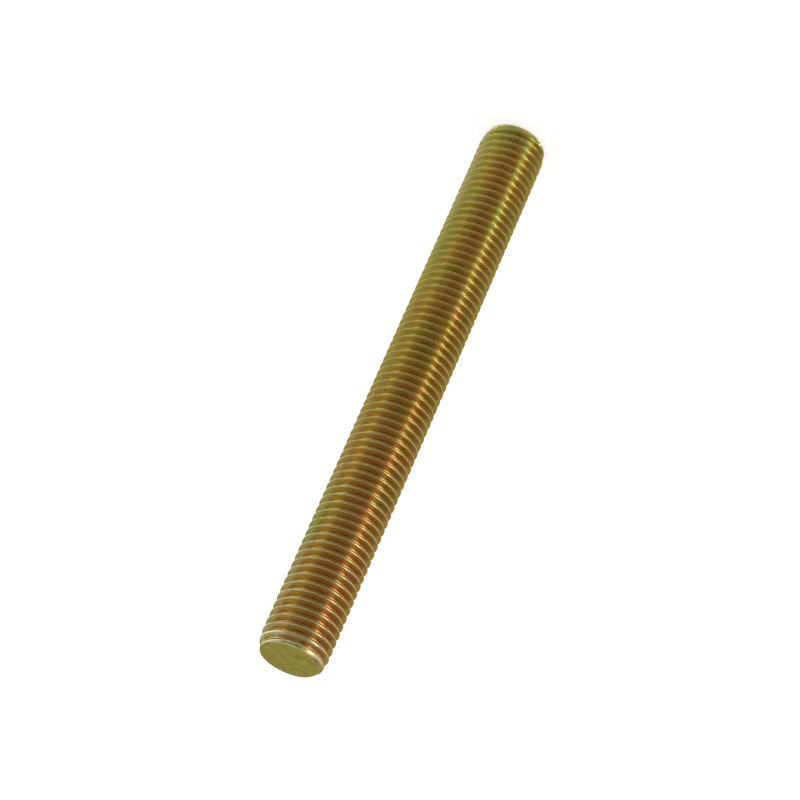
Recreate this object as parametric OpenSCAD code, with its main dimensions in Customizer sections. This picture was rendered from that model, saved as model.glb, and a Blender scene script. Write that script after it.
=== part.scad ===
// Threaded rod: a straight steel bar with one right-hand 60 degree thread from end to end.
// Millimetres, +Z up. The rod stands on its flat foot, with its axis on Z.

/* [Rod] */
// Diameter over the thread crests
major_d = 19.05; // [12:0.05:40]
// Overall length
rod_length = 177.8; // [60:0.1:200]

/* [Thread] */
// Distance from one crest to the next
pitch = 2.54; // [2.3:0.01:4]
// Width of the flat left on each crest
crest_flat = 0.32; // [0.2:0.01:0.5]
// Width of the flat at the bottom of the groove
root_flat = 0.42; // [0.2:0.01:0.8]
// Angle between the two flanks of the groove
flank_angle = 60; // [50:1:65]
// Angle round the rod, from +X, at which the groove meets the foot
start_angle = 181; // [0:1:359]

/* [Ends] */
// How far the long taper at each end comes in from the crests
taper_depth = 0.65; // [0.2:0.05:1.2]
// How far the taper runs along the rod
taper_length = 4.2; // [1:0.1:8]
// How far the worn edge round each end face comes in
edge_depth = 0.6; // [0.1:0.05:0.8]
// How far that edge runs along the rod
edge_length = 0.6; // [0.1:0.05:0.9]

/* [Hidden] */

turn_steps = 20;
$fn = 3 * turn_steps;
tool_clear = 0.03;
overrun_turns = 0.5;
steel = [0.66, 0.55, 0.28];

major_r = major_d / 2;
taper_r = major_r - taper_depth;
face_r = taper_r - edge_depth;

// The thread is cut in short straight steps. This spreads their error evenly to both sides.
step_gain = (1 + 1 / cos(180 / turn_steps)) / 2;

flank_run = (pitch - crest_flat - root_flat) / 2;
flank_slope = tan(flank_angle / 2);
thread_depth = flank_run / flank_slope;
root_r = major_r - thread_depth;

// The groove tool stands outside the bar, also at the middle of each of its steps
tool_r = (major_r + tool_clear) / cos(180 / turn_steps);
root_corner_r = root_r * step_gain;
root_half = root_flat / 2;
tool_half = root_half + (tool_r - root_corner_r) * flank_slope;
steps = ceil((rod_length / pitch + 2 * overrun_turns) * turn_steps);

// One section of the groove tool, as radius and height
groove_section = [
    [root_corner_r, -root_half],
    [tool_r, -tool_half],
    [tool_r, tool_half],
    [root_corner_r, root_half]
];

function groove_point(step, corner) =
    let (turn = step / turn_steps - overrun_turns)
    [corner[0] * cos(360 * turn), corner[0] * sin(360 * turn), pitch * turn + corner[1]];

// The wall between one section and the next along one side of the tool, as two triangles
function wall(step, side, sides) =
    let (
        a = step * sides + side,
        b = step * sides + (side + 1) % sides
    )
    [[a, b, b + sides], [a, b + sides, a + sides]];

// The groove's own solid, wound from half a turn below the foot to half a turn above the top
module groove_tool() {
    sides = len(groove_section);
    points = [for (step = [0 : steps], corner = groove_section) groove_point(step, corner)];
    walls = [for (step = [0 : steps - 1], side = [0 : sides - 1]) each wall(step, side, sides)];
    first_cap = [for (side = [sides - 1 : -1 : 0]) side];
    last_cap = [for (side = [0 : sides - 1]) steps * sides + side];
    polyhedron(points = points, faces = concat([first_cap], walls, [last_cap]), convexity = 10);
}

// The bar before its thread is cut
module bar_blank() {
    rotate_extrude()
        polygon([
            [0, 0],
            [face_r, 0],
            [taper_r, edge_length],
            [major_r, taper_length],
            [major_r, rod_length - taper_length],
            [taper_r, rod_length - edge_length],
            [face_r, rod_length],
            [0, rod_length]
        ]);
}

module rod() {
    color(steel)
        rotate(start_angle)
            difference() {
                bar_blank();
                groove_tool();
            }
}

rod();
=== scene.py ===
"""A yellow-zinc threaded rod, standing on its foot on a pale table under one soft lamp, with studio cards
round it."""

import math
from types import SimpleNamespace

import bpy
from mathutils import Matrix, Vector


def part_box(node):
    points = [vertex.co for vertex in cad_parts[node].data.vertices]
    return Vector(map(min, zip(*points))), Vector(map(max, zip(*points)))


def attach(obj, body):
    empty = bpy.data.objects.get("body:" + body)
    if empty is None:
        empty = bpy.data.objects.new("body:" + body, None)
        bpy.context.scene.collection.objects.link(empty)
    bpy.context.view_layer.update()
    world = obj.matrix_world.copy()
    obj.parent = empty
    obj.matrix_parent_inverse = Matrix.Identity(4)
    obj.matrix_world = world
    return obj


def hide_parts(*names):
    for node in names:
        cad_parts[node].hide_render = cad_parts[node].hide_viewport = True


MM = 0.001

# The rod's thread and ends, in metres, as they are cut in the solid
PITCH = 2.54 * MM
CREST_FLAT = 0.32 * MM
ROOT_FLAT = 0.42 * MM
FLANK_ANGLE = math.radians(60)
START_ANGLE = math.radians(181)
TAPER_DEPTH = 0.65 * MM
TAPER_LENGTH = 4.2 * MM
EDGE_DEPTH = 0.6 * MM
EDGE_LENGTH = 0.6 * MM

# How rounded the corners of the section and of the ends are, and how far the marks of the rolls stand out
CREST_ROUNDING = 0.14 * MM
ROOT_ROUNDING = 0.45 * MM
TAPER_ROUNDING = 0.1 * MM
EDGE_ROUNDING = 0.25 * MM
ROLLING_MARKS = 0.04 * MM
MARKS_SEED = 7.0

# How the thread's surface is divided: columns round the rod, rows across one turn of thread, and turns to
# spare past each end, where the thread runs out
COLUMNS = 84
ROWS_PER_TURN = 16
SPARE_TURNS = 2

# Half the width over which a crest's edge is eased, and the short stretch of flank below it
EASE = 0.05 * MM
SHOULDER = 0.08 * MM

# Points closer than this are welded. The end faces lie within the skin's depth of the rod's ends, and an
# edge there that bends more than the crisp angle stays crisp
WELD = 0.002 * MM
END_SKIN = 0.005 * MM
CRISP_ANGLE = math.radians(15)

# The film's colours from the -X side of the rod, 0, to its +X side, 1
FILM_COLOURS = {
    "groove at the foot": [
        (0.1, "#ac9846"),
        (0.3, "#bea759"),
        (0.5, "#ae9152"),
        (0.7, "#b9a660"),
        (0.9, "#aaa449"),
    ],
    "groove at the top": [
        (0.1, "#b68346"),
        (0.25, "#ae8a59"),
        (0.5, "#b88f58"),
        (0.7, "#b39559"),
        (0.9, "#a68a46"),
    ],
    "crest at the foot": [(0.1, "#918540"), (0.5, "#a5893f"), (0.9, "#9e994c")],
    "crest at the top": [(0.1, "#bea975"), (0.25, "#bba66f"), (0.5, "#b79f56"), (0.9, "#bdac80")],
}
# The pale zinc where the film is worn through, also the colour of the painted light on the flanks that face
# the top
BARE_ZINC_AND_LIT_FLANKS = "#c6ca9e"

# Where the greener line painted along the strip lamp's highlight lies, round from -Y towards -X
HIGHLIGHT_LINE_ANGLE = math.radians(24)

# A Mix node's colour sockets share their names with its other ones, so they go by number
FACTOR, FIRST, SECOND, MIXED = 0, 6, 7, 2

# How far above the table the cards that lie on it are
ON_TABLE = 0.5 * MM


def linear(hex_colour):
    """The linear colour, with alpha, of an sRGB hex value."""
    channels = [int(hex_colour[i : i + 2], 16) / 255 for i in (1, 3, 5)]
    return [c / 12.92 if c <= 0.04045 else ((c + 0.055) / 1.055) ** 2.4 for c in channels] + [1.0]


def add(tree, kind, inputs=(), stops=(), **settings):
    """Adds one node with its settings and any colour stops, and links or sets its inputs, given in order,
    by name or by number."""
    node = tree.nodes.new(kind)
    for name, value in settings.items():
        setattr(node, name, value)
    for number, (position, hex_colour) in enumerate(stops):
        if number > 1:
            node.color_ramp.elements.new(position)
        node.color_ramp.elements[number].position = position
        node.color_ramp.elements[number].color = linear(hex_colour)
    for key, value in inputs.items() if isinstance(inputs, dict) else enumerate(inputs):
        if isinstance(value, bpy.types.Node):
            value = value.outputs[0]
        if isinstance(value, bpy.types.NodeSocket):
            tree.links.new(value, node.inputs[key])
        else:
            node.inputs[key].default_value = value
    return node


def new_tree(name, sizes, result, result_kind):
    """An empty geometry tree with an input for each size, whole or not, and one output. Returns the tree
    and its inputs."""
    tree = bpy.data.node_groups.new(name, "GeometryNodeTree")
    for label, value in sizes.items():
        kind = "NodeSocketInt" if isinstance(value, int) else "NodeSocketFloat"
        tree.interface.new_socket(label, in_out="INPUT", socket_type=kind)
    tree.interface.new_socket(result, in_out="OUTPUT", socket_type=result_kind)
    return tree, tree.nodes.new("NodeGroupInput").outputs


# ---------------------------------------------------------------- the rod's shape


def bar_profile_tree(bar_sizes):
    """The radius of the bare bar at a height: straight, then a long taper and a broken edge at each end."""
    tree, size = new_tree("bar profile", {"Height": 0.0, **bar_sizes}, "Radius", "NodeSocketFloat")
    from_top = add(tree, "ShaderNodeMath", [size["Length"], size["Height"]], operation="SUBTRACT")
    inwards = add(tree, "ShaderNodeMath", [size["Height"], from_top], operation="MINIMUM")
    taper_r = add(tree, "ShaderNodeMath", [size["Bar radius"], size["Taper depth"]], operation="SUBTRACT")
    face_r = add(tree, "ShaderNodeMath", [taper_r, size["Edge depth"]], operation="SUBTRACT")
    edge = add(
        tree,
        "ShaderNodeMapRange",
        {
            "Value": inwards,
            "From Min": 0.0,
            "From Max": size["Edge length"],
            "To Min": face_r,
            "To Max": taper_r,
        },
        clamp=False,
    )
    taper = add(
        tree,
        "ShaderNodeMapRange",
        {
            "Value": inwards,
            "From Min": size["Edge length"],
            "From Max": size["Taper length"],
            "To Min": taper_r,
            "To Max": size["Bar radius"],
        },
        clamp=False,
    )
    ends = add(tree, "ShaderNodeMath", [edge, taper, size["Edge rounding"]], operation="SMOOTH_MIN")
    radius = add(
        tree, "ShaderNodeMath", [ends, size["Bar radius"], size["Taper rounding"]], operation="SMOOTH_MIN"
    )
    add(tree, "NodeGroupOutput", [radius])
    return tree


def thread_tree(bar_sizes, thread_sizes, thread_finish, end_finish):
    """Winds a sheet of rows and columns into the threaded rod. Its thread runs out at both end faces."""
    bar_profile = bar_profile_tree(bar_sizes)
    tree, size = new_tree("rolled thread", {**bar_sizes, **thread_sizes}, "Rod", "NodeSocketGeometry")
    bar = {name: size[name] for name in bar_sizes}

    # the sheet: X runs round the rod, Y runs along it
    all_rows = add(tree, "ShaderNodeMath", [size["Rows per turn"], size["Turns"]], operation="MULTIPLY")
    rows = add(tree, "ShaderNodeMath", [all_rows, 1.0], operation="ADD")
    columns = add(tree, "ShaderNodeMath", [size["Columns"], 1.0], operation="ADD")
    sheet = add(tree, "GeometryNodeMeshGrid", {"Vertices X": columns, "Vertices Y": rows})
    place = add(tree, "ShaderNodeSeparateXYZ", [add(tree, "GeometryNodeInputPosition")])
    turn = add(tree, "ShaderNodeMath", [place.outputs["X"], 0.5], operation="ADD")
    along = add(tree, "ShaderNodeMath", [place.outputs["Y"], 0.5], operation="ADD")
    row_raw = add(tree, "ShaderNodeMath", [along, all_rows], operation="MULTIPLY")
    row = add(tree, "ShaderNodeMath", [row_raw], operation="ROUND")

    # the nearest crest of this row, and how far the row lies from it, as a share of half a turn
    turns_up = add(tree, "ShaderNodeMath", [row, size["Rows per turn"]], operation="DIVIDE")
    crest = add(tree, "ShaderNodeMath", [turns_up], operation="ROUND")
    off_crest = add(tree, "ShaderNodeMath", [turns_up, crest], operation="SUBTRACT")
    side = add(tree, "ShaderNodeMath", [off_crest], operation="SIGN")
    share_half = add(tree, "ShaderNodeMath", [off_crest], operation="ABSOLUTE")
    share = add(tree, "ShaderNodeMath", [share_half, 2.0], operation="MULTIPLY")
    # the groove meets the foot at the start angle, so the crest does half a turn further on
    crest_turn = add(tree, "ShaderNodeMath", [turn, crest], operation="ADD")
    crest_turns = add(tree, "ShaderNodeMath", [crest_turn, 0.5 - SPARE_TURNS], operation="ADD")
    crest_height = add(tree, "ShaderNodeMath", [crest_turns, size["Pitch"]], operation="MULTIPLY")

    # the crest is wider where the taper cuts it lower
    half_angle = add(tree, "ShaderNodeMath", [size["Flank angle"], 0.5], operation="MULTIPLY")
    slope = add(tree, "ShaderNodeMath", [half_angle], operation="TANGENT")
    half_crest = add(tree, "ShaderNodeMath", [size["Crest flat"], 0.5], operation="MULTIPLY")
    half_root = add(tree, "ShaderNodeMath", [size["Root flat"], 0.5], operation="MULTIPLY")
    half_pitch = add(tree, "ShaderNodeMath", [size["Pitch"], 0.5], operation="MULTIPLY")
    inside = add(tree, "ShaderNodeClamp", {"Value": crest_height, "Min": 0.0, "Max": size["Length"]})
    crest_r = add(tree, "GeometryNodeGroup", {**bar, "Height": inside}, node_tree=bar_profile)
    cut = add(tree, "ShaderNodeMath", [size["Bar radius"], crest_r], operation="SUBTRACT")
    widened = add(tree, "ShaderNodeMath", [cut, slope, half_crest], operation="MULTIPLY_ADD")
    to_root = add(tree, "ShaderNodeMath", [half_pitch, half_root], operation="SUBTRACT")

    # rows are spent where the section bends: on the crest, over its edge, on the shoulder below it, down
    # the flank and round half the root
    near_edge = add(tree, "ShaderNodeMath", [widened, EASE], operation="SUBTRACT")
    far_edge = add(tree, "ShaderNodeMath", [widened, EASE], operation="ADD")
    shoulder_end = add(tree, "ShaderNodeMath", [far_edge, SHOULDER], operation="ADD")
    flank_run = add(tree, "ShaderNodeMath", [to_root, shoulder_end], operation="SUBTRACT")
    stretches = ((1, near_edge), (1, 2 * EASE), (1, SHOULDER), (2, flank_run), (3, half_root))
    reach = 0.0
    start = 0.0
    for rows_used, width in stretches:
        end = start + 2 * rows_used / ROWS_PER_TURN
        stretch = add(
            tree,
            "ShaderNodeMapRange",
            {"Value": share, "From Min": start, "From Max": end, "To Min": 0.0, "To Max": width},
        )
        reach = add(tree, "ShaderNodeMath", [reach, stretch], operation="ADD")
        start = end
    height_raw = add(tree, "ShaderNodeMath", [reach, side, crest_height], operation="MULTIPLY_ADD")
    height = add(tree, "ShaderNodeClamp", {"Value": height_raw, "Min": 0.0, "Max": size["Length"]})

    # the section's radius at that height: a 60 degree ridge between a rounded root and an eased crest
    pitches = add(tree, "ShaderNodeMath", [height, size["Pitch"]], operation="DIVIDE")
    behind = add(tree, "ShaderNodeMath", [pitches, turn], operation="SUBTRACT")
    phase_raw = add(tree, "ShaderNodeMath", [behind, 0.5], operation="SUBTRACT")
    phase = add(tree, "ShaderNodeMath", [phase_raw, 0.5], operation="PINGPONG")
    from_crest = add(tree, "ShaderNodeMath", [phase, size["Pitch"]], operation="MULTIPLY")
    down_run = add(tree, "ShaderNodeMath", [from_crest, half_crest], operation="SUBTRACT")
    drop = add(tree, "ShaderNodeMath", [down_run, slope], operation="DIVIDE")
    flank = add(tree, "ShaderNodeMath", [size["Bar radius"], drop], operation="SUBTRACT")
    ridge = add(tree, "ShaderNodeMath", [to_root, half_crest], operation="SUBTRACT")
    depth = add(tree, "ShaderNodeMath", [ridge, slope], operation="DIVIDE")
    root = add(tree, "ShaderNodeMath", [size["Bar radius"], depth], operation="SUBTRACT")
    groove = add(tree, "ShaderNodeMath", [flank, root, size["Root rounding"]], operation="SMOOTH_MAX")
    bar_r = add(tree, "GeometryNodeGroup", {**bar, "Height": height}, node_tree=bar_profile)
    section = add(tree, "ShaderNodeMath", [groove, bar_r, size["Crest rounding"]], operation="SMOOTH_MIN")

    # faint marks of the rolls
    angle = add(tree, "ShaderNodeMath", [turn, math.tau, size["Start angle"]], operation="MULTIPLY_ADD")
    cosine = add(tree, "ShaderNodeMath", [angle], operation="COSINE")
    sine = add(tree, "ShaderNodeMath", [angle], operation="SINE")
    on_circle = add(tree, "ShaderNodeCombineXYZ", [cosine, sine, pitches])
    marks = add(
        tree,
        "ShaderNodeTexNoise",
        {"Vector": on_circle, "W": size["Seed"], "Scale": 2.6, "Detail": 1.0, "Roughness": 0.5},
        noise_dimensions="4D",
    )
    marks_mid = add(tree, "ShaderNodeMath", [marks, 0.5], operation="SUBTRACT")
    marked = add(
        tree, "ShaderNodeMath", [marks_mid, size["Rolling marks"], section], operation="MULTIPLY_ADD"
    )

    # the first and last rows close the ends at the axis
    before_last = add(tree, "ShaderNodeMath", [all_rows, 0.5], operation="SUBTRACT")
    not_first = add(tree, "ShaderNodeMath", [row, 0.5], operation="GREATER_THAN")
    not_last = add(tree, "ShaderNodeMath", [row, before_last], operation="LESS_THAN")
    ringed = add(tree, "ShaderNodeMath", [not_first, not_last], operation="MULTIPLY")
    radius = add(tree, "ShaderNodeMath", [marked, ringed], operation="MULTIPLY")
    across = add(tree, "ShaderNodeMath", [radius, cosine], operation="MULTIPLY")
    deep = add(tree, "ShaderNodeMath", [radius, sine], operation="MULTIPLY")
    wound_place = add(tree, "ShaderNodeCombineXYZ", [across, deep, height])
    wound = add(tree, "GeometryNodeSetPosition", {"Geometry": sheet, "Position": wound_place})
    closed = add(tree, "GeometryNodeMergeByDistance", {"Geometry": wound, "Distance": WELD})

    # flat end faces, with a crisp edge round them
    placed = add(tree, "ShaderNodeSeparateXYZ", [add(tree, "GeometryNodeInputPosition")])
    half_length = add(tree, "ShaderNodeMath", [size["Length"], 0.5], operation="MULTIPLY")
    off_middle = add(tree, "ShaderNodeMath", [placed.outputs["Z"], half_length], operation="SUBTRACT")
    to_end = add(tree, "ShaderNodeMath", [off_middle], operation="ABSOLUTE")
    end_line = add(tree, "ShaderNodeMath", [half_length, END_SKIN], operation="SUBTRACT")
    at_end = add(tree, "FunctionNodeCompare", [to_end, end_line], operation="GREATER_THAN")
    bend = add(tree, "GeometryNodeInputMeshEdgeAngle").outputs["Unsigned Angle"]
    bent = add(tree, "FunctionNodeCompare", [bend, CRISP_ANGLE], operation="GREATER_THAN")
    crisp = add(tree, "FunctionNodeBooleanMath", [at_end, bent], operation="AND")
    smooth = add(tree, "GeometryNodeSetShadeSmooth", {"Geometry": closed, "Shade Smooth": True})
    edged = add(
        tree,
        "GeometryNodeStoreNamedAttribute",
        {"Geometry": smooth, "Name": "sharp_edge", "Value": crisp},
        data_type="BOOLEAN",
        domain="EDGE",
    )
    real = add(tree, "GeometryNodeRealizeInstances", [edged])
    plated = add(tree, "GeometryNodeSetMaterial", {"Geometry": real, "Material": thread_finish})
    ends_plated = {"Geometry": plated, "Selection": at_end, "Material": end_finish}
    add(tree, "NodeGroupOutput", [add(tree, "GeometryNodeSetMaterial", ends_plated)])
    return tree


def threaded_rod(length, bar_radius, thread_finish, end_finish):
    """The rod as a plain closed mesh, made by its tree."""
    bar_sizes = {
        "Length": length,
        "Bar radius": bar_radius,
        "Taper depth": TAPER_DEPTH,
        "Taper length": TAPER_LENGTH,
        "Taper rounding": TAPER_ROUNDING,
        "Edge depth": EDGE_DEPTH,
        "Edge length": EDGE_LENGTH,
        "Edge rounding": EDGE_ROUNDING,
    }
    thread_sizes = {
        "Pitch": PITCH,
        "Crest flat": CREST_FLAT,
        "Root flat": ROOT_FLAT,
        "Flank angle": FLANK_ANGLE,
        "Start angle": START_ANGLE,
        "Crest rounding": CREST_ROUNDING,
        "Root rounding": ROOT_ROUNDING,
        "Rolling marks": ROLLING_MARKS,
        "Seed": MARKS_SEED,
        "Columns": COLUMNS,
        "Rows per turn": ROWS_PER_TURN,
        "Turns": math.ceil(length / PITCH) + 2 * SPARE_TURNS,
    }
    tree = thread_tree(bar_sizes, thread_sizes, thread_finish, end_finish)
    sizes = {**bar_sizes, **thread_sizes}
    maker = bpy.data.objects.new("rod_maker", bpy.data.meshes.new("rod_maker"))
    bpy.context.scene.collection.objects.link(maker)
    winder = maker.modifiers.new("rolled thread", "NODES")
    winder.node_group = tree
    for item in tree.interface.items_tree:
        if item.item_type == "SOCKET" and item.in_out == "INPUT":
            winder[item.identifier] = sizes[item.name]
    wound = bpy.data.meshes.new_from_object(maker.evaluated_get(bpy.context.evaluated_depsgraph_get()))
    bpy.data.objects.remove(maker)
    wound.name = "threaded_rod"
    # the first slot is the maker's own, and empty
    wound.materials.pop(index=0)
    rod = bpy.data.objects.new("threaded_rod", wound)
    bpy.context.scene.collection.objects.link(rod)
    return rod


# ---------------------------------------------------------------- its finishes


def new_finish(name):
    """An empty material and its node tree."""
    material = bpy.data.materials.new(name)
    material.use_nodes = True
    material.node_tree.nodes.clear()
    return material, material.node_tree


def spot_on_rod(tree, length, bar_radius):
    """Where a spot lies on the rod and in its film, for the parts of the thread's finish."""
    place = add(tree, "ShaderNodeTexCoord").outputs["Object"]
    x, y, z = add(tree, "ShaderNodeSeparateXYZ", [place]).outputs
    flat = add(tree, "ShaderNodeCombineXYZ", [x, y, 0.0])
    radius = add(tree, "ShaderNodeVectorMath", [flat], operation="LENGTH").outputs["Value"]
    from_top = add(tree, "ShaderNodeMath", [length, z], operation="SUBTRACT")
    from_end = add(tree, "ShaderNodeMath", [z, from_top], operation="MINIMUM")

    # what the radius would be without the taper and the broken edge of each end
    taper_in = add(
        tree,
        "ShaderNodeMapRange",
        {
            "Value": from_end,
            "From Min": EDGE_LENGTH,
            "From Max": TAPER_LENGTH,
            "To Min": TAPER_DEPTH,
            "To Max": 0.0,
        },
    )
    edge_in = add(
        tree,
        "ShaderNodeMapRange",
        {"Value": from_end, "From Min": 0.0, "From Max": EDGE_LENGTH, "To Min": EDGE_DEPTH, "To Max": 0.0},
    )
    come_in = add(tree, "ShaderNodeMath", [taper_in, edge_in], operation="ADD")
    full_radius = add(tree, "ShaderNodeMath", [radius, come_in], operation="ADD")
    # 0 in the grooves, 1 on the crests
    rise = add(
        tree,
        "ShaderNodeMapRange",
        {"Value": full_radius, "From Min": bar_radius - 0.2 * MM, "From Max": bar_radius - 0.03 * MM},
    )

    # how the film lies: from the foot, 0, to the top, 1, and from the -X side, 0, to the +X side, 1. Both
    # wander over patches of 6 mm
    wander = add(
        tree,
        "ShaderNodeTexNoise",
        {"Vector": place, "Scale": 1 / (6 * MM), "Detail": 4.0, "Roughness": 0.6},
    )
    wander_mid = add(tree, "ShaderNodeMath", [wander, 0.5], operation="SUBTRACT")
    up = add(tree, "ShaderNodeMath", [z, 1 / length], operation="MULTIPLY")
    side = add(tree, "ShaderNodeMapRange", {"Value": x, "From Min": -bar_radius, "From Max": bar_radius})
    film = add(tree, "ShaderNodeMath", [wander_mid, 0.7, up], operation="MULTIPLY_ADD", use_clamp=True)
    hang = add(tree, "ShaderNodeMath", [wander_mid, 0.5, side], operation="MULTIPLY_ADD", use_clamp=True)
    return SimpleNamespace(
        place=place,
        z=z,
        flat=flat,
        radius=radius,
        bar_radius=bar_radius,
        from_top=from_top,
        from_end=from_end,
        rise=rise,
        up=up,
        side=side,
        film=film,
        hang=hang,
    )


def film_colour(tree, spot):
    """The film's gold, redder in the grooves than on the crests, and greener towards the foot, with a band
    of painted shade, darker and redder, on the flanks towards the -X side.
    """
    films = []
    for part in ("groove", "crest"):
        foot = add(tree, "ShaderNodeValToRGB", [spot.hang], stops=FILM_COLOURS[part + " at the foot"])
        top = add(tree, "ShaderNodeValToRGB", [spot.hang], stops=FILM_COLOURS[part + " at the top"])
        lengthwise = {FACTOR: spot.film, FIRST: foot, SECOND: top}
        films.append(add(tree, "ShaderNodeMix", lengthwise, data_type="RGBA").outputs[MIXED])
    groove, crest = films

    # painted shade: below the top, a band of the flanks towards the -X side is tinted darker and redder
    shade_band_tint = add(
        tree,
        "ShaderNodeValToRGB",
        [spot.hang],
        stops=[(0.08, "#ffffff"), (0.16, "#f7e0d0"), (0.27, "#f9e4d6"), (0.38, "#ffffff")],
    )
    on_flank = add(
        tree,
        "ShaderNodeMapRange",
        {
            "Value": spot.radius,
            "From Min": spot.bar_radius - 1.2 * MM,
            "From Max": spot.bar_radius - 0.7 * MM,
        },
    )
    below_top = add(
        tree,
        "ShaderNodeMapRange",
        {"Value": spot.film, "From Min": 0.55, "From Max": 0.85, "To Min": 1.0, "To Max": 0.0},
    )
    shade_band_here = add(tree, "ShaderNodeMath", [on_flank, below_top], operation="MULTIPLY")
    shade_banded = {FACTOR: shade_band_here, FIRST: groove, SECOND: shade_band_tint}
    groove = add(tree, "ShaderNodeMix", shade_banded, data_type="RGBA", blend_type="MULTIPLY").outputs[MIXED]

    # half-way up, where nothing handles them, the crests keep their richest gold
    kept_gold = add(
        tree,
        "ShaderNodeValToRGB",
        [spot.film],
        stops=[(0.05, "#ffffff"), (0.3, "#fef2dc"), (0.5, "#fff1de"), (0.8, "#ffffff")],
    )
    enriched = {FACTOR: 1.0, FIRST: crest, SECOND: kept_gold}
    crest = add(tree, "ShaderNodeMix", enriched, data_type="RGBA", blend_type="MULTIPLY").outputs[MIXED]
    both = {FACTOR: spot.rise, FIRST: groove, SECOND: crest}
    return add(tree, "ShaderNodeMix", both, data_type="RGBA").outputs[MIXED]


def highlight_line_tint(tree, spot, gold):
    """A greener, paler line down the lower half, painted where the strip lamp's highlight runs so that the
    highlight looks lime: a painted highlight colour.
    """
    beside_line_tint = add(
        tree,
        "ShaderNodeVectorMath",
        [spot.flat, (-math.cos(HIGHLIGHT_LINE_ANGLE), math.sin(HIGHLIGHT_LINE_ANGLE), 0.0)],
        operation="DOT_PRODUCT",
    ).outputs["Value"]
    off_line_tint = add(tree, "ShaderNodeMath", [beside_line_tint], operation="ABSOLUTE")
    facing_line_tint = add(
        tree,
        "ShaderNodeVectorMath",
        [spot.flat, (-math.sin(HIGHLIGHT_LINE_ANGLE), -math.cos(HIGHLIGHT_LINE_ANGLE), 0.0)],
        operation="DOT_PRODUCT",
    ).outputs["Value"]
    this_side = add(tree, "ShaderNodeMath", [facing_line_tint, 0.0], operation="GREATER_THAN")
    tint_width = add(
        tree,
        "ShaderNodeMapRange",
        {"Value": off_line_tint, "From Min": 0.4 * MM, "From Max": 1.2 * MM, "To Min": 1.0, "To Max": 0.0},
    )
    tint_length = add(
        tree,
        "ShaderNodeMapRange",
        {"Value": spot.z, "From Min": 20 * MM, "From Max": 78 * MM, "To Min": 1.0, "To Max": 0.0},
    )
    tint_down = add(tree, "ShaderNodeMath", [tint_width, tint_length], operation="MULTIPLY")
    tint_here = add(tree, "ShaderNodeMath", [tint_down, this_side], operation="MULTIPLY")
    # the crests take less of the tint
    tint_taken = add(tree, "ShaderNodeMapRange", {"Value": spot.rise, "To Min": 1.0, "To Max": 0.45})
    run = add(tree, "ShaderNodeMath", [tint_here, tint_taken], operation="MULTIPLY")
    # painted highlight: the line is tinted lime-green where the strip lamp's highlight falls
    marked = {FACTOR: run, FIRST: gold, SECOND: linear("#abb262")}
    return add(tree, "ShaderNodeMix", marked, data_type="RGBA").outputs[MIXED]


def painted_reflection_and_lit_flanks(tree, spot, gold):
    """A pale beige patch low on the +X side, painted as a reflection of pale surroundings at that edge, and
    the flanks that face the top, painted paler over the upper third as painted light."""
    # painted reflection: pale beige at the +X edge low down, where that edge mirrors pale surroundings
    far_side = add(tree, "ShaderNodeMapRange", {"Value": spot.side, "From Min": 0.86, "From Max": 0.95})
    low_down = add(
        tree,
        "ShaderNodeMapRange",
        {"Value": spot.z, "From Min": 22 * MM, "From Max": 50 * MM, "To Min": 1.0, "To Max": 0.0},
    )
    painted_reflection_here = add(tree, "ShaderNodeMath", [far_side, low_down], operation="MULTIPLY")
    reflection_painted = {FACTOR: painted_reflection_here, FIRST: gold, SECOND: linear("#b8a668")}
    gold = add(tree, "ShaderNodeMix", reflection_painted, data_type="RGBA").outputs[MIXED]

    # painted light: the flanks that face the top are painted paler over the upper third, as if lit from
    # above
    normal = add(tree, "ShaderNodeSeparateXYZ", [add(tree, "ShaderNodeTexCoord").outputs["Normal"]])
    facing_top = add(
        tree, "ShaderNodeMapRange", {"Value": normal.outputs["Z"], "From Min": 0.2, "From Max": 0.6}
    )
    upper_flank = add(
        tree,
        "ShaderNodeMapRange",
        {
            "Value": spot.radius,
            "From Min": spot.bar_radius - 1.1 * MM,
            "From Max": spot.bar_radius - 0.6 * MM,
        },
    )
    lit_flank_reach = add(
        tree,
        "ShaderNodeMapRange",
        {"Value": spot.from_top, "From Min": 5 * MM, "From Max": 75 * MM, "To Min": 0.26, "To Max": 0.0},
    )
    # none of it on the -X side
    lit_flank_side = add(tree, "ShaderNodeMapRange", {"Value": spot.side, "From Min": 0.05, "From Max": 0.25})
    lit_flank = add(tree, "ShaderNodeMath", [facing_top, upper_flank], operation="MULTIPLY")
    lit_flank_here = add(tree, "ShaderNodeMath", [lit_flank, lit_flank_reach], operation="MULTIPLY")
    painted_lit_flanks = add(tree, "ShaderNodeMath", [lit_flank_here, lit_flank_side], operation="MULTIPLY")
    flanks_painted_lit = {FACTOR: painted_lit_flanks, FIRST: gold, SECOND: linear(BARE_ZINC_AND_LIT_FLANKS)}
    return add(tree, "ShaderNodeMix", flanks_painted_lit, data_type="RGBA").outputs[MIXED]


def blushes(tree, spot, gold):
    """Pink and green blushes of the film, in clouds of 16 mm broken into blotches of 1 to 2 mm."""
    clouds = add(
        tree,
        "ShaderNodeTexNoise",
        {"Vector": spot.place, "Scale": 1 / (16 * MM), "Detail": 6.0, "Roughness": 0.72},
    )
    blush = add(
        tree, "ShaderNodeValToRGB", [clouds], stops=[(0.38, "#ffede6"), (0.5, "#fafafa"), (0.62, "#eafbe2")]
    )
    blushed = {FACTOR: 1.0, FIRST: gold, SECOND: blush}
    return add(tree, "ShaderNodeMix", blushed, data_type="RGBA", blend_type="MULTIPLY").outputs[MIXED]


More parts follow.
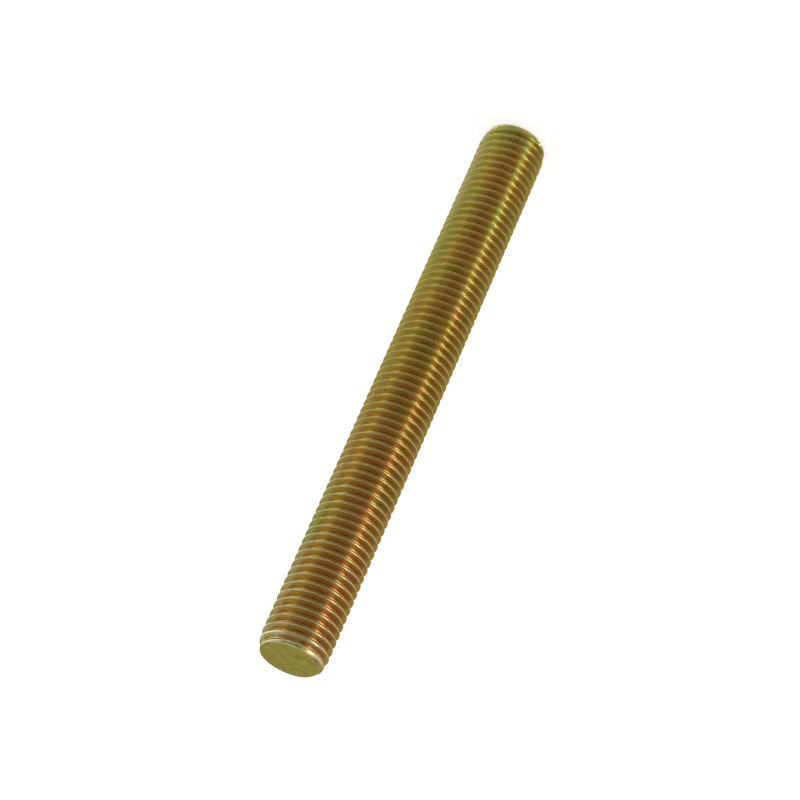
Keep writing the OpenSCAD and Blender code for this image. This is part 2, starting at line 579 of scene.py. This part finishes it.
def wear(tree, spot):
    """How far handling wore the film to bare zinc: on the rim, then on the last crests in patches."""
    patches = add(
        tree,
        "ShaderNodeTexNoise",
        {"Vector": spot.place, "Scale": 1 / (3 * MM), "Detail": 4.0, "Roughness": 0.6},
    )
    patches_mid = add(tree, "ShaderNodeMath", [patches, 0.5], operation="SUBTRACT")
    worn_from = add(tree, "ShaderNodeMath", [patches_mid, 12 * MM, spot.from_end], operation="MULTIPLY_ADD")
    rim = add(
        tree,
        "ShaderNodeMapRange",
        {"Value": worn_from, "From Min": 0.0, "From Max": 2.2 * MM, "To Min": 0.8, "To Max": 0.0},
    )
    last_turns = add(
        tree,
        "ShaderNodeMapRange",
        {"Value": worn_from, "From Min": 1.0 * MM, "From Max": 8.0 * MM, "To Min": 0.45, "To Max": 0.0},
    )
    crests = add(
        tree,
        "ShaderNodeMapRange",
        {
            "Value": spot.radius,
            "From Min": spot.bar_radius - 1.1 * MM,
            "From Max": spot.bar_radius - 0.5 * MM,
        },
    )
    last_crests = add(tree, "ShaderNodeMath", [last_turns, crests], operation="MULTIPLY")
    both = add(tree, "ShaderNodeMath", [rim, last_crests], operation="MAXIMUM")
    # the foot is worn less than the top, and the -X side less than the +X side
    handled = add(tree, "ShaderNodeMapRange", {"Value": spot.up, "To Min": 0.3, "To Max": 1.0})
    rubbed_side = add(
        tree,
        "ShaderNodeMapRange",
        {"Value": spot.side, "From Min": 0.3, "From Max": 0.8, "To Min": 0.45, "To Max": 1.0},
    )
    worn_along = add(tree, "ShaderNodeMath", [both, handled], operation="MULTIPLY")
    return add(tree, "ShaderNodeMath", [worn_along, rubbed_side], operation="MULTIPLY")


def rolling_streaks(tree, spot):
    """Streaks left by the rolls, which run round with the thread. Real ones are about 0.05 mm wide, and
    these are drawn 0.5 mm wide, to show."""
    around_rod = add(tree, "ShaderNodeVectorMath", [spot.flat], operation="NORMALIZE")
    streak_turn = add(
        tree,
        "ShaderNodeVectorMath",
        {0: around_rod, "Scale": spot.bar_radius / (4 * MM)},
        operation="SCALE",
    )
    streaks_up = add(tree, "ShaderNodeMath", [spot.z, 1 / (0.5 * MM)], operation="MULTIPLY")
    streak_up = add(tree, "ShaderNodeCombineXYZ", {"Z": streaks_up})
    streak_place = add(tree, "ShaderNodeVectorMath", [streak_turn, streak_up], operation="ADD")
    return add(tree, "ShaderNodeTexNoise", {"Vector": streak_place, "Scale": 1.0, "Detail": 2.0})


def yellow_zinc_thread(length, bar_radius):
    """Yellow chromate over zinc on rolled steel: a semi-bright straw gold. It deepens to red-brown in the
    grooves, where it mirrors itself, and the film is greener towards the foot, where it drained thinner.
    The flanks that face the top are painted paler over the upper third, as painted light, and a greener,
    paler line down the lower half is painted where the strip lamp's highlight runs, as a painted highlight.
    At both ends the rim and the last crests are worn to bare zinc."""
    material, tree = new_finish("yellow chromated zinc on rolled steel")
    spot = spot_on_rod(tree, length, bar_radius)
    gold = film_colour(tree, spot)
    gold = highlight_line_tint(tree, spot, gold)
    gold = painted_reflection_and_lit_flanks(tree, spot, gold)
    gold = blushes(tree, spot, gold)
    worn = wear(tree, spot)
    worn_down = {FACTOR: worn, FIRST: gold, SECOND: linear(BARE_ZINC_AND_LIT_FLANKS)}
    colour = add(tree, "ShaderNodeMix", worn_down, data_type="RGBA").outputs[MIXED]

    # the rolls burnish the crests most, and the bare zinc is duller
    streaks = rolling_streaks(tree, spot)
    streak_rough = add(
        tree,
        "ShaderNodeMapRange",
        {"Value": streaks, "From Min": 0.3, "From Max": 0.7, "To Min": 0.23, "To Max": 0.3},
    )
    rolled_rough = add(tree, "ShaderNodeMath", [spot.rise, -0.03, streak_rough], operation="MULTIPLY_ADD")
    roughness = add(tree, "ShaderNodeMath", [worn, 0.3, rolled_rough], operation="MULTIPLY_ADD")
    relief = add(tree, "ShaderNodeBump", {"Height": streaks, "Strength": 0.12, "Distance": 0.03 * MM})
    surface = add(
        tree,
        "ShaderNodeBsdfPrincipled",
        {
            "Base Color": colour,
            "Metallic": 1.0,
            "Roughness": roughness,
            "Normal": relief,
            "Coat Weight": 0.2,
            "Coat Roughness": 0.12,
            "Specular Tint": linear("#c4b893"),
        },
    )
    add(tree, "ShaderNodeOutputMaterial", {"Surface": surface})
    return material


def yellow_zinc_end():
    """Yellow chromate over zinc on a sawn face: matt olive, because the saw left it rough, and blotched
    where the film dried in patches."""
    material, tree = new_finish("yellow chromated zinc on a sawn face")
    place = add(tree, "ShaderNodeTexCoord").outputs["Object"]
    patches = add(
        tree,
        "ShaderNodeTexNoise",
        {"Vector": place, "Scale": 1 / (2.5 * MM), "Detail": 4.0, "Roughness": 0.65},
    )
    olive = add(
        tree, "ShaderNodeValToRGB", [patches], stops=[(0.3, "#8a731e"), (0.5, "#968a25"), (0.7, "#98973b")]
    )
    # the saw's fine parallel scratches, 0.5 mm apart
    lengthened = add(
        tree, "ShaderNodeMapping", {"Vector": place, "Scale": (1 / (0.5 * MM), 1 / (3 * MM), 1.0)}
    )
    scratches = add(tree, "ShaderNodeTexNoise", {"Vector": lengthened, "Scale": 1.0, "Detail": 2.0})
    roughness = add(
        tree,
        "ShaderNodeMapRange",
        {"Value": scratches, "From Min": 0.3, "From Max": 0.7, "To Min": 0.46, "To Max": 0.62},
    )
    relief = add(tree, "ShaderNodeBump", {"Height": scratches, "Strength": 0.4, "Distance": 0.06 * MM})
    surface = add(
        tree,
        "ShaderNodeBsdfPrincipled",
        {"Base Color": olive, "Metallic": 0.85, "Roughness": roughness, "Normal": relief},
    )
    add(tree, "ShaderNodeOutputMaterial", {"Surface": surface})
    return material


# ---------------------------------------------------------------- camera, table, lamp and cards


def place_camera():
    """A long lens looking down at the rod from its -Y side, 30 degrees above the table. The camera is
    rolled, so that the rod leans across its view."""
    data = bpy.data.cameras.new("camera")
    data.sensor_width = 36.0
    data.lens = 126.9
    data.clip_start = 0.02
    camera = bpy.data.objects.new("camera", data)
    bpy.context.scene.collection.objects.link(camera)
    elevation = math.radians(30.137)
    roll = math.radians(-156.293)
    distance = 0.7671
    aim = Vector((0, 0, 0.093753))
    forward = Vector((0, math.cos(elevation), -math.sin(elevation)))
    level_right = Vector((1, 0, 0))
    level_up = level_right.cross(forward)
    right = level_right * math.cos(roll) + level_up * math.sin(roll)
    up = level_up * math.cos(roll) - level_right * math.sin(roll)
    # it stands a little beside the line to its aim, in mm
    to_left, to_top = 0.778, 0.288
    turned = Matrix((right, up, -forward)).transposed().to_4x4()
    turned.translation = aim - forward * distance - right * to_left * MM + up * to_top * MM
    camera.matrix_world = turned
    bpy.context.scene.camera = camera


def seen_itself(tree):
    """1 where the camera, gloss or glass sees a surface, and 0 where the surface only gives light."""
    rays = add(tree, "ShaderNodeLightPath").outputs
    seen = add(tree, "ShaderNodeMath", [rays["Is Camera Ray"], rays["Is Glossy Ray"]], operation="MAXIMUM")
    return add(tree, "ShaderNodeMath", [seen, rays["Is Transmission Ray"]], operation="MAXIMUM")


def white_surroundings():
    """A world that looks white and gives half as much light."""
    world = bpy.data.worlds.new("white studio")
    bpy.context.scene.world = world
    world.use_nodes = True
    tree = world.node_tree
    tree.nodes.clear()
    strength = add(tree, "ShaderNodeMapRange", {"Value": seen_itself(tree), "To Min": 0.5, "To Max": 1.0})
    light = add(tree, "ShaderNodeBackground", {"Color": linear("#ffffff"), "Strength": strength})
    add(tree, "ShaderNodeOutputWorld", {"Surface": light})


def pale_table():
    """A table top under pale matt paper, which looks white and keeps the rod's shadow."""
    half_side = 3.0
    corners = [(x * half_side, y * half_side, 0) for x, y in ((-1, -1), (1, -1), (1, 1), (-1, 1))]
    mesh = bpy.data.meshes.new("table")
    mesh.from_pydata(corners, [], [(0, 1, 2, 3)])
    table = bpy.data.objects.new("table", mesh)
    bpy.context.scene.collection.objects.link(table)
    material, tree = new_finish("white laid paper")
    # a light of its own, which only brings the paper up to white
    lift = add(tree, "ShaderNodeMath", [seen_itself(tree), 0.59], operation="MULTIPLY")
    surface = add(
        tree,
        "ShaderNodeBsdfPrincipled",
        {
            "Base Color": linear("#e4e4e4"),
            "Roughness": 0.9,
            "Specular IOR Level": 0.0,
            "Emission Color": linear("#ffffff"),
            "Emission Strength": lift,
        },
    )
    add(tree, "ShaderNodeOutputMaterial", {"Surface": surface})
    mesh.materials.append(material)


def around(azimuth, reach, height):
    """A point by its direction round the rod, from -Y towards -X, its distance and its height."""
    angle = math.radians(azimuth)
    return Vector((-math.sin(angle) * reach, -math.cos(angle) * reach, height))


def softbox(height, size, brightness):
    """A soft square lamp straight above the rod. Its brightness is that of its own face."""
    data = bpy.data.lights.new("softbox", "AREA")
    data.shape = "RECTANGLE"
    data.size = data.size_y = size
    data.energy = brightness * math.pi * size * size
    light = bpy.data.objects.new("softbox", data)
    light.location = (0, 0, height)
    light.visible_camera = False
    bpy.context.scene.collection.objects.link(light)


def card(name, azimuths, reach, heights, brightness):
    """A studio card that only the rod's metal sees, glowing with its own light at the given brightness. It
    bends round the rod between two azimuths, from one distance and height to another."""
    steps = 16
    places = []
    for step in range(steps + 1):
        turned = azimuths[0] + (azimuths[1] - azimuths[0]) * step / steps
        places += [around(turned, reach[0], heights[0]), around(turned, reach[1], heights[1])]
    faces = [(i, i + 1, i + 3, i + 2) for i in range(0, 2 * steps, 2)]
    mesh = bpy.data.meshes.new(name)
    mesh.from_pydata(places, [], faces)
    sheet = bpy.data.objects.new(name, mesh)
    bpy.context.scene.collection.objects.link(sheet)
    material, tree = new_finish("glowing white studio card")
    surface = add(tree, "ShaderNodeEmission", {"Color": linear("#ffffff"), "Strength": brightness})
    add(tree, "ShaderNodeOutputMaterial", {"Surface": surface})
    mesh.materials.append(material)
    sheet.visible_camera = False
    sheet.visible_diffuse = False
    sheet.visible_shadow = False


def lying_card(name, azimuths, reach, brightness, height=ON_TABLE):
    """A level card, from the rod's axis out to its reach."""
    card(name, azimuths, (0.0, reach), (height, height), brightness)


def standing_card(name, azimuths, reach, heights, brightness):
    """An upright card, bent round the rod."""
    card(name, azimuths, (reach, reach), heights, brightness)


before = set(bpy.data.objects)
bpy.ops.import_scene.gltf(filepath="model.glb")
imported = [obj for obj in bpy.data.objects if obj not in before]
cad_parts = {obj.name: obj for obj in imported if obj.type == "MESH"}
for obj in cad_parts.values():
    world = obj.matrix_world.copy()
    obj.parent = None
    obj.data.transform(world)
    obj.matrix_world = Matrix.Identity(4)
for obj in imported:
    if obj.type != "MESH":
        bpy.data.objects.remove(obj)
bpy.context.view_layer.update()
low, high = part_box("rod")

place_camera()
white_surroundings()
pale_table()

# The cards: each has two azimuths, how far out it lies or stands, the heights of a standing one, and its
# brightness. First those that lie on the table, round the foot
lying_card("table_left_back", (-135, -85), 0.5, 0.12)
lying_card("table_front", (-85, 44), 0.5, 0.71)
lying_card("table_strip", (45, 51.5), 0.45, 3.8, height=2 * ON_TABLE)
lying_card("table_right", (62, 85), 0.4, 0.75)
lying_card("table_right_back", (85, 150), 0.4, 1.25)
lying_card("table_back", (150, 180), 0.6, 0.2)
lying_card("table_back_left", (180, 225), 0.6, 2.1)

# Walls in front and on the left
standing_card("front_left_wall", (-62, -20), 0.45, (0.0, 0.11), 1.2)
standing_card("front_wall", (-20, 44), 0.45, (0.0, 0.11), 0.68)
standing_card("left_low_wall", (-130, -62), 0.5, (0.0, 0.12), 2.6)
standing_card("left_wall", (-130, -62), 0.5, (0.12, 0.3), 1.55)
standing_card("left_upper_wall", (-130, -60), 0.5, (0.3, 1.0), 0.6)

# Narrow bright strips, which draw light lines along the rod
standing_card("strip_foot", (46, 54), 0.45, (0.0, 0.17), 4.2)
standing_card("left_strip", (-63, -58), 0.44, (0.0, 0.4), 1.4)
lying_card("table_left_strip", (-62, -58), 0.44, 2.2, height=2 * ON_TABLE)

# Dim flags, which draw the dark lines between them
standing_card("front_flag", (-52, 36), 1.3, (0.13, 1.45), 0.06)
standing_card("upper_right_flag", (-15, 80), 0.6, (0.7, 1.35), 0.55)
standing_card("right_flag", (65, 80), 0.47, (0.0, 0.7), 0.85)
standing_card("back_flag", (95, 145), 1.0, (0.55, 2.2), 0.34)

# The wall behind, the ceiling, and the brightest strips, high on the right
standing_card("back_wall", (127, 250), 1.2, (0.0, 2.2), 0.8)
lying_card("ceiling", (-180, 180), 0.6, 0.55, height=1.4)
standing_card("strip_lamp", (51, 66), 0.45, (0.19, 0.38), 6.6)
standing_card("strip_upper_lamp", (46, 64), 0.45, (0.36, 0.7), 2.8)
softbox(height=1.45, size=1.3, brightness=0.8)

# The rod itself
length, bar_radius = high.z - low.z, (high.x - low.x) / 2
rod = threaded_rod(length, bar_radius, yellow_zinc_thread(length, bar_radius), yellow_zinc_end())
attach(rod, "root")
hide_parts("rod")

scene = bpy.context.scene
scene.view_settings.view_transform = "Standard"
